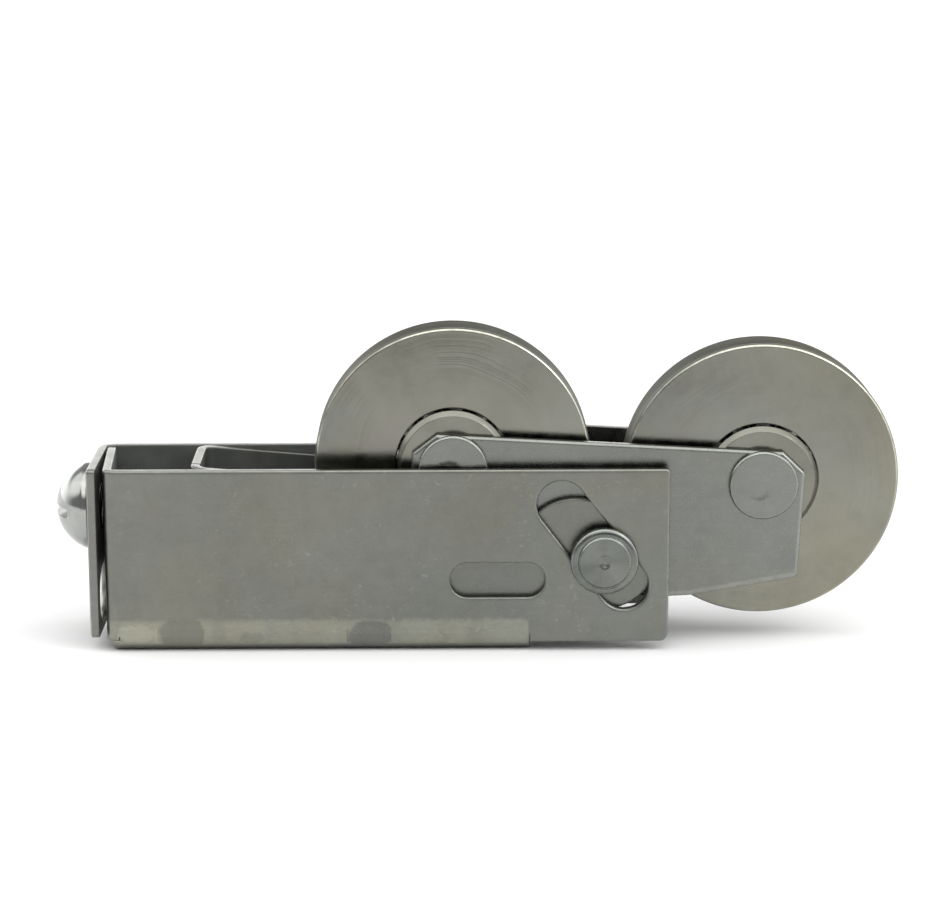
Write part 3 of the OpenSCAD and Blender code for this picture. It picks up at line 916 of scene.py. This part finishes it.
# (x, z, corner radius) from the pin, before the truck leans
TRUCK_OUTLINE = [
    (-27, -1.84, 0.35), (-27, 12.9, 0.3), (-23.75, 15.7, 0.3), (23.75, 15.7, 0.3),
    (27, 12.9, 0.3), (27, -1.84, 0.35), (12.35, -5.24, 3), (7, -5.8, 3),
    (-7, -5.8, 3), (-12.35, -5.24, 3)]
TRUCK_LEAN = math.atan2(-WHEEL_SPAN.z, WHEEL_SPAN.x)
AXLE_X, AXLE_Z = WHEEL_SPAN.length / 2, 11.07


def truck_edge(p, q):
    """Width of the chamfer: narrow at the top, wide at the bottom."""
    if q > 13.5:
        return 0.4
    return 0.6 if q > 0 else 1.05


def build_truck_plate(side, node):
    """side is -1 for the front plate and 1 for the back one."""
    hole_roll = ((0.15, 0.15), (0.1, 0.1))
    holes = [(circle(0, 0, PIN_BORE), hole_roll),
             (circle(-AXLE_X, AXLE_Z, AXLE_BORE), hole_roll),
             (circle(AXLE_X, AXLE_Z, AXLE_BORE), hole_roll)]
    bm = slab([(x, z) for x, z, _ in TRUCK_OUTLINE], [radius for _, _, radius in TRUCK_OUTLINE],
              ((truck_edge, 0.42), (0.08, 0.1)), holes, shape=CHAMFER)
    fold(bm, lambda p, q, h: (p, side * (TRUCK_FACE - h), q))
    place(bm, PIN, TRUCK_LEAN)
    make(node + "_blank", bm, "truck", node, (TRUCK, SHEARED), sharp=40)


# ------------------------------------------------------------------ wheels, races, rivets

WHEEL_RADIUS, WHEEL_HALF = 19.045, 3.175
TREAD_RADIUS, TREAD_DEPTH = 4.8, 0.7
HUB_BORE = 7.9
RACE_RADIUS, RACE_HALF = 7.76, 4.85
RACE_INNER = 0.012  # the two races' inner faces, from the middle


def groove(centre, radius, start, end, count, sign):
    """Profile points of a groove's section from y = start to end, about (centre, 0)."""
    return [(centre + sign * math.sqrt(max(0.0, radius * radius - y * y)), y, 0)
            for y in stations(start, end - start, count)]


def wheel_rim(r, y):
    """1 on the bevel round each face, which gets a painted highlight; -1 in the tread, which gets a
    painted shade and a rougher finish.
    """
    if (WHEEL_RADIUS - 0.37 < r < WHEEL_RADIUS - 0.16
            and WHEEL_HALF - 0.14 < abs(y) < WHEEL_HALF - 0.0005):
        return 1.0
    in_tread = r > WHEEL_RADIUS - TREAD_DEPTH - 0.1 and abs(y) < WHEEL_HALF - 0.14
    return -1.0 if in_tread else 0.0


def build_wheel(side):
    tread_centre = WHEEL_RADIUS - TREAD_DEPTH + TREAD_RADIUS
    tread_half = math.sqrt(TREAD_RADIUS ** 2 - (tread_centre - WHEEL_RADIUS) ** 2)
    groove_half = math.sqrt(BALL_GROOVE ** 2 - (HUB_BORE - BALL_CIRCLE) ** 2)
    back = [(HUB_BORE, WHEEL_HALF - 0.08, 0.03), (HUB_BORE + 0.08, WHEEL_HALF, 0.03),
            (WHEEL_RADIUS - 0.36, WHEEL_HALF, 0.02), (WHEEL_RADIUS - 0.18, WHEEL_HALF - 0.12, 0.04),
            (WHEEL_RADIUS - 0.05, WHEEL_HALF - 0.26, 0.06), (WHEEL_RADIUS, WHEEL_HALF - 0.42, 0.05)]
    front = [(r, -y, radius) for r, y, radius in back]
    profile = front[1:] + groove(tread_centre, TREAD_RADIUS, -tread_half, tread_half, 28, -1)
    profile += back[::-1] + groove(BALL_CIRCLE, BALL_GROOVE, groove_half, -groove_half, 20, 1)
    profile += front[:1]
    bm = lathe(fillet(profile), 224, closed=True, rim=wheel_rim)
    place(bm, WHEELS[side])
    make(side + "_wheel_turned", bm, side + "_wheel", side + "_wheel",
         (WHEEL_STEEL[side],), sharp=32)


def race_rim(r, y):
    """1 on the outer chamfer, which gets a painted highlight."""
    on_chamfer = r > RACE_RADIUS - 0.62 and RACE_HALF - 0.7 < abs(y) < RACE_HALF - 0.01
    return 1.0 if on_chamfer else 0.0


def build_race(side, face, sign):
    groove_half = math.sqrt(BALL_GROOVE ** 2 - (RACE_RADIUS - BALL_CIRCLE) ** 2)
    profile = [(AXLE_BORE, RACE_INNER, 0)]
    profile += groove(BALL_CIRCLE, BALL_GROOVE, RACE_INNER, groove_half, 14, -1)
    profile += [(RACE_RADIUS, RACE_HALF - 0.72, 0.06), (RACE_RADIUS - 0.66, RACE_HALF, 0.06),
                (AXLE_BORE + 0.15, RACE_HALF, 0.05), (AXLE_BORE, RACE_HALF - 0.15, 0.05)]
    bm = lathe([(r, sign * y) for r, y in fillet(profile)], 144, closed=True, rim=race_rim)
    place(bm, WHEELS[side])
    node = f"{side}_race_{face}"
    make(node + "_turned", bm, "truck", node, (RACE_STEEL[side],), sharp=32)


def build_rivet(side, seed):
    """An axle rivet with a head on each truck plate; seed varies its hammered faces."""
    head, head_radius = -TRUCK_FACE - 0.94, 4.75
    profile = [(0, head, 0)]
    profile += [(r, head - 0.02 * (1 - (r / 3.9) ** 2), 0) for r in [0.18 * k for k in range(1, 21)]]
    profile += [(4.1, head, 0), (4.52, -TRUCK_FACE - 0.93, 0.12),
                (head_radius, -TRUCK_FACE - 0.68, 0.12), (head_radius, -TRUCK_FACE - 0.12, 0.08),
                (4.68, -TRUCK_FACE, 0.03), (3.0, -TRUCK_FACE, 0)]
    half = fillet(profile, 10)

    def peen(a, r, y):
        """Riveting marks: an off-centre dish and soft flats on the head's face."""
        if abs(y) < 6.5:
            return r, y
        x, z = r * math.cos(a), r * math.sin(a)
        sign = 1 if y > 0 else -1
        flats = noise.noise(Vector((x * 0.55 + seed, z * 0.55 - seed, 0.3 * sign))) * 0.045
        flats += noise.noise(Vector((x * 1.6, z * 1.6, seed))) * 0.014
        u = max(0.0, min(1.0, (math.hypot(x + 0.75, z + 0.3) - 1.0) / 1.1))
        dish = -0.085 * (1 - u * u * (3 - 2 * u))
        fade = max(0.0, min(1.0, (4.3 - r) / 1.2))
        return r * (1 + 0.004 * math.sin(3 * a + seed)), y + sign * (flats + dish) * fade

    bm = lathe(half + [(r, -y) for r, y in half[::-1]], 120, warp=peen,
               rim=lambda r, y: 1.0 if r > 4.5 and abs(y) > 6.3 else 0.0)
    place(bm, WHEELS[side])
    make(side + "_axle_rivet_headed", bm, "truck", side + "_axle_rivet",
         (RIVET,), sharp=38)


# ------------------------------------------------------------------ pivot pin, washer, spacer

PIN_SEAT = HALF_Y + 0.06  # the head's underside in front, and the washer's inner face behind
PIN_TAIL = PIN_SEAT + 0.85
# (radius, height, corner radius), from the middle of the face to the shank
PIN_HEAD = [
    (0, 1.52, 0), (0.35, 1.54, 0.1), (0.72, 1.74, 0.08), (0.9, 1.79, 0.05),
    (1.15, 1.75, 0.05), (1.5, 1.752, 0), (1.9, 1.756, 0), (2.02, 1.768, 0.02),
    (2.14, 1.758, 0.02), (2.7, 1.76, 0), (3.2, 1.765, 0), (3.36, 1.765, 0.04),
    (3.58, 1.53, 0.05), (3.6, 1.36, 0.04), (3.72, 1.30, 0.03), (3.84, 1.33, 0.03),
    (4.05, 1.31, 0), (4.3, 1.22, 0.3), (4.56, 0.98, 0.15), (4.65, 0.78, 0.08),
    (4.65, 0.1, 0.06), (4.56, 0, 0.02), (3.3, 0, 0)]
# the same columns, from the shank to the middle of the peened end
PIN_PEENED = [
    (3.3, 0, 0), (4.05, 0, 0.03), (4.2, 0.25, 0.15), (3.95, 0.78, 0.3),
    (3.2, 1.08, 0.4), (1.4, 1.1, 0.2), (0.9, 0.85, 0.15), (0, 0.8, 0)]


def build_pin():
    def uneven(a, r, y):
        """Makes the peened end slightly out of round."""
        swell = 0.006 * math.sin(5 * a + 1) + 0.004 * math.sin(9 * a)
        return r * (1 + swell * (1 if y > PIN_TAIL + 0.1 else 0)), y

    profile = [(r, -PIN_SEAT - height, radius) for r, height, radius in PIN_HEAD]
    profile += [(r, PIN_TAIL + height, radius) for r, height, radius in PIN_PEENED]
    bm = lathe(fillet(profile, 12), 144, warp=uneven,
               rim=lambda r, y: 1.0 if y < 0 and (3.4 < r < 3.6 or r > 4.5) else 0.0)
    place(bm, PIN)
    make("pivot_pin_headed", bm, "pin", "pivot_pin", (PIN_STEEL,), sharp=32)


def build_ring(name, body, node, profile, count):
    bm = lathe(fillet(profile), count, closed=True)
    place(bm, PIN)
    make(name, bm, body, node, (RIVET,), sharp=38)


def build_washer():
    bore, radius, outer = 3.34, 5.4, PIN_SEAT + 0.8
    build_ring("pivot_washer_pressed", "pin", "pivot_washer", [
        (bore, PIN_SEAT + 0.4, 0), (bore, PIN_SEAT, 0.05), (radius, PIN_SEAT, 0.1),
        (radius, outer, 0.25), (bore, outer, 0.08), (bore, PIN_SEAT + 0.42, 0)], 120)


def build_spacer():
    radius, half = 4.5, 4.8
    build_ring("pivot_spacer_cut", "truck", "pivot_spacer", [
        (PIN_BORE, 0, 0), (PIN_BORE, -half, 0.12), (radius, -half, 0.2),
        (radius, half, 0.2), (PIN_BORE, half, 0.12), (PIN_BORE, 0.1, 0)], 96)


# ------------------------------------------------------------------ adjusting screw

SEAT_X = LEFT_X - 0.08  # underside of the head
HEAD_RADIUS, HEAD_HEIGHT, HEAD_RIM = 6.05, 5.0, 0.9
DOME_RISE = HEAD_HEIGHT - HEAD_RIM
DOME_RADIUS = (HEAD_RADIUS * HEAD_RADIUS + DOME_RISE * DOME_RISE) / (2 * DOME_RISE)
THREAD_PITCH, THREAD_MAJOR, THREAD_MINOR = 1.27, 3.17, 2.62
SCREW_LENGTH = 21.5
THREAD_START, THREAD_END = 0.4, SCREW_LENGTH - 0.15
THREAD_ROWS = 17 * 16
DRIVE_WIDTH, DRIVE_DEPTH, DRIVE_TURN = 1.3, 2.0, math.radians(3.5)


def screw_profile():
    """(r, y) from the top of the domed head to the end of the shank."""
    dome_angle = math.acos((DOME_RADIUS - DOME_RISE) / DOME_RADIUS)
    rows = [(0.0, -HEAD_HEIGHT)]
    rows += [(DOME_RADIUS * math.sin(a), -HEAD_HEIGHT + DOME_RADIUS - DOME_RADIUS * math.cos(a))
             for a in stations(0.0, dome_angle, 26)[1:]]
    rows += [(HEAD_RADIUS, -HEAD_RIM + 0.12), (HEAD_RADIUS, -0.3), (HEAD_RADIUS - 0.05, -0.12),
             (HEAD_RADIUS - 0.22, -0.02), (HEAD_RADIUS - 0.5, 0.0),
             (THREAD_MAJOR + 0.2, 0.0), (THREAD_MAJOR, 0.08)]
    rows += [(THREAD_MAJOR, y)
             for y in stations(THREAD_START, THREAD_END - THREAD_START, THREAD_ROWS)]
    return rows + [(1.2, SCREW_LENGTH), (0.0, SCREW_LENGTH)]


def thread(a, r, y):
    """Cuts the thread into the shank, fading in at the head and tapering at the end."""
    if y < THREAD_START - 1e-6 or r < THREAD_MAJOR - 0.001:
        return r, y
    phase = ((y - THREAD_PITCH * a / (2 * math.pi)) / THREAD_PITCH) % 1.0
    crest = max(0.0, min(1.0, (abs(phase - 0.5) * 2 - 0.10) / 0.75))
    cut_r = THREAD_MINOR + (THREAD_MAJOR - THREAD_MINOR) * crest
    fade = max(0.0, min(1.0, (y - 0.9) / 1.2))
    new_r = THREAD_MAJOR - (THREAD_MAJOR - cut_r) * fade
    to_end = THREAD_END - y
    if to_end < 1.0:
        new_r = min(new_r, 2.35 + 0.75 * to_end)
    return new_r, y


def drive_cutter():
    """A box with rounded inner edges, for the slot across the head."""
    head_x, length = SEAT_X - HEAD_HEIGHT, 3.0
    bm = bmesh.new()
    bmesh.ops.create_cube(bm, size=1.0)
    bmesh.ops.scale(bm, vec=(length, 14.0, DRIVE_WIDTH), verts=bm.verts)
    bmesh.ops.translate(bm, vec=(head_x - length / 2 + DRIVE_DEPTH, 0, SCREW_Z), verts=bm.verts)
    floor_edges = [e for e in bm.edges if all(vert.co.x > head_x for vert in e.verts)]
    bmesh.ops.bevel(bm, geom=floor_edges, offset=0.18, segments=3, profile=0.5, affect="EDGES")
    bmesh.ops.rotate(bm, cent=(0, 0, SCREW_Z), matrix=Matrix.Rotation(DRIVE_TURN, 3, "X"),
                     verts=bm.verts)
    bmesh.ops.scale(bm, vec=(MM, MM, MM), verts=bm.verts)
    return new_object("slot_cutter", bm)


def build_screw():
    bm = lathe(screw_profile(), 96, warp=thread)
    # lay the turned axis (local +Y) along +X, head towards -X
    y_to_x = Matrix(((0, 1, 0, 0), (0, 0, 1, 0), (1, 0, 0, 0), (0, 0, 0, 1)))
    matrix = Matrix.Translation(Vector((SEAT_X, 0, SCREW_Z))) @ y_to_x
    bmesh.ops.transform(bm, matrix=matrix, verts=bm.verts)
    bmesh.ops.recalc_face_normals(bm, faces=bm.faces)
    screw = make("adjusting_screw_threaded", bm, "screw", "adjusting_screw",
                 (SCREW,), sharp=32, weighted=False)
    cutter = drive_cutter()
    boolean = screw.modifiers.new("slot", "BOOLEAN")
    boolean.operation = "DIFFERENCE"
    boolean.solver = "EXACT"
    boolean.object = cutter
    bpy.context.view_layer.update()
    depsgraph = bpy.context.evaluated_depsgraph_get()
    mesh = bpy.data.meshes.new_from_object(screw.evaluated_get(depsgraph))
    screw.modifiers.clear()
    screw.data = mesh
    bpy.data.objects.remove(cutter)
    bm = bmesh.new()
    bm.from_mesh(mesh)
    bmesh.ops.remove_doubles(bm, verts=bm.verts, dist=1e-7)
    bm.to_mesh(mesh)
    bm.free()
    shade(mesh, sharp=32)
    screw.modifiers.new("weighted", "WEIGHTED_NORMAL").keep_sharp = True


# ------------------------------------------------------------------ balls, kept from the CAD


def finish_balls(node):
    balls = frame["nodes"][node]
    balls.data.materials.clear()
    balls.data.materials.append(BALL)
    balls.modifiers.new("weld", "WELD").merge_threshold = 1e-6


# ------------------------------------------------------------------ floor, light, camera (metres)


def build_floor():
    bm = bmesh.new()
    bmesh.ops.create_grid(bm, x_segments=1, y_segments=1, size=8.0)
    floor = new_object("floor", bm)
    floor.location = (0, 0, CAD_LO.z - 0.00002)
    material, g, shader = new_material("floor_pale")
    cloud = g.noise(g.position_mm(), scale=0.01, detail=2.0)
    g.put(shader, "Base Color", g.ramp(cloud, [(0.0, (0.89, 0.89, 0.89)),
                                               (1.0, (0.91, 0.91, 0.91))]))
    g.put(shader, "Roughness", 0.9)
    g.put(shader, "Specular IOR Level", 0.1)
    floor.data.materials.append(material)


# Broad soft sources in the sky: (direction, cosine at the rim, cosine of the full part, strength).
SKY_SOURCES = (
    ((-0.74, 0.05, 0.67), 0.84, 0.95, 1.7),
    ((0.82, -0.15, 0.52), 0.76, 0.95, 1.6),
    ((0.05, -0.34, 0.93), 0.72, 0.90, 2.1))


def build_world():
    """A sky dim in front and light above the horizon behind, with three soft sources."""
    front_strength, high_strength, horizon_strength = 0.30, 0.42, 2.6
    world = bpy.data.worlds.new("studio")
    bpy.context.scene.world = world
    world.use_nodes = True
    g = Graph(world.node_tree)
    output = g.tree.nodes.new("ShaderNodeOutputWorld")
    background = g.tree.nodes.new("ShaderNodeBackground")
    direction = g.node("ShaderNodeTexCoord", output="Generated")
    _, y, z = g.separate(direction)
    behind = g.remap(y, (-0.3, 0.8))
    near_horizon = g.remap(z, (0.24, 0.46), to=(1.0, 0.0))
    back_sky = g.blend(near_horizon, high_strength, horizon_strength)
    total = g.blend(behind, front_strength, back_sky)
    for towards, rim, full, strength in SKY_SOURCES:
        cosine = g.vector("DOT_PRODUCT", direction, Vector(towards).normalized())
        total = g.blend(g.remap(cosine, (rim, full)), total, strength)
    g.put(background, "Strength", total)
    g.put(background, "Color", (1.0, 1.0, 1.0, 1))
    g.tree.links.new(background.outputs[0], output.inputs[0])


def build_light():
    position, target = Vector((0.50, -0.28, 0.42)), Vector((0.02, 0, 0.02))
    light = bpy.data.lights.new("right_softbox", "AREA")
    light.shape = "RECTANGLE"
    light.size, light.size_y = 0.35, 0.3
    light.energy = 0.7
    obj = bpy.data.objects.new("right_softbox", light)
    obj.location = position
    obj.rotation_mode = "QUATERNION"
    obj.rotation_quaternion = (target - position).to_track_quat("-Z", "Y")
    bpy.context.scene.collection.objects.link(obj)


def build_camera():
    heading, down, roll = math.radians(0.655), math.radians(13.154), math.radians(-0.057)
    x, y, z = 0.017117, -0.375671, 0.113541
    ahead = Vector((math.sin(heading) * math.cos(down), math.cos(heading) * math.cos(down),
                    -math.sin(down)))
    right = Vector((math.cos(heading), -math.sin(heading), 0))
    up = right.cross(ahead)
    right, up = (right * math.cos(roll) + up * math.sin(roll),
                 up * math.cos(roll) - right * math.sin(roll))
    data = bpy.data.cameras.new("camera")
    data.sensor_width = 36.0
    data.lens = 105.1
    data.clip_start, data.clip_end = 0.01, 50
    camera = bpy.data.objects.new("camera", data)
    camera.matrix_world = Matrix(((right.x, up.x, -ahead.x, x), (right.y, up.y, -ahead.y, y),
                                  (right.z, up.z, -ahead.z, z), (0, 0, 0, 1)))
    scene = bpy.context.scene
    scene.collection.objects.link(camera)
    scene.camera = camera
    scene.view_settings.view_transform = "Standard"
    scene.view_settings.look = "None"


build_housing()
build_yoke()
build_truck_plate(-1, "truck_plate_front")
build_truck_plate(1, "truck_plate_back")
for side in WHEELS:
    build_wheel(side)
for side in WHEELS:
    build_race(side, "front", -1)
    build_race(side, "back", 1)
build_rivet("left", seed=3.0)
build_rivet("right", seed=8.0)
build_pin()
build_washer()
build_spacer()
build_screw()
for node in ("left_balls", "right_balls"):
    finish_balls(node)
build_floor()
build_world()
build_light()
build_camera()
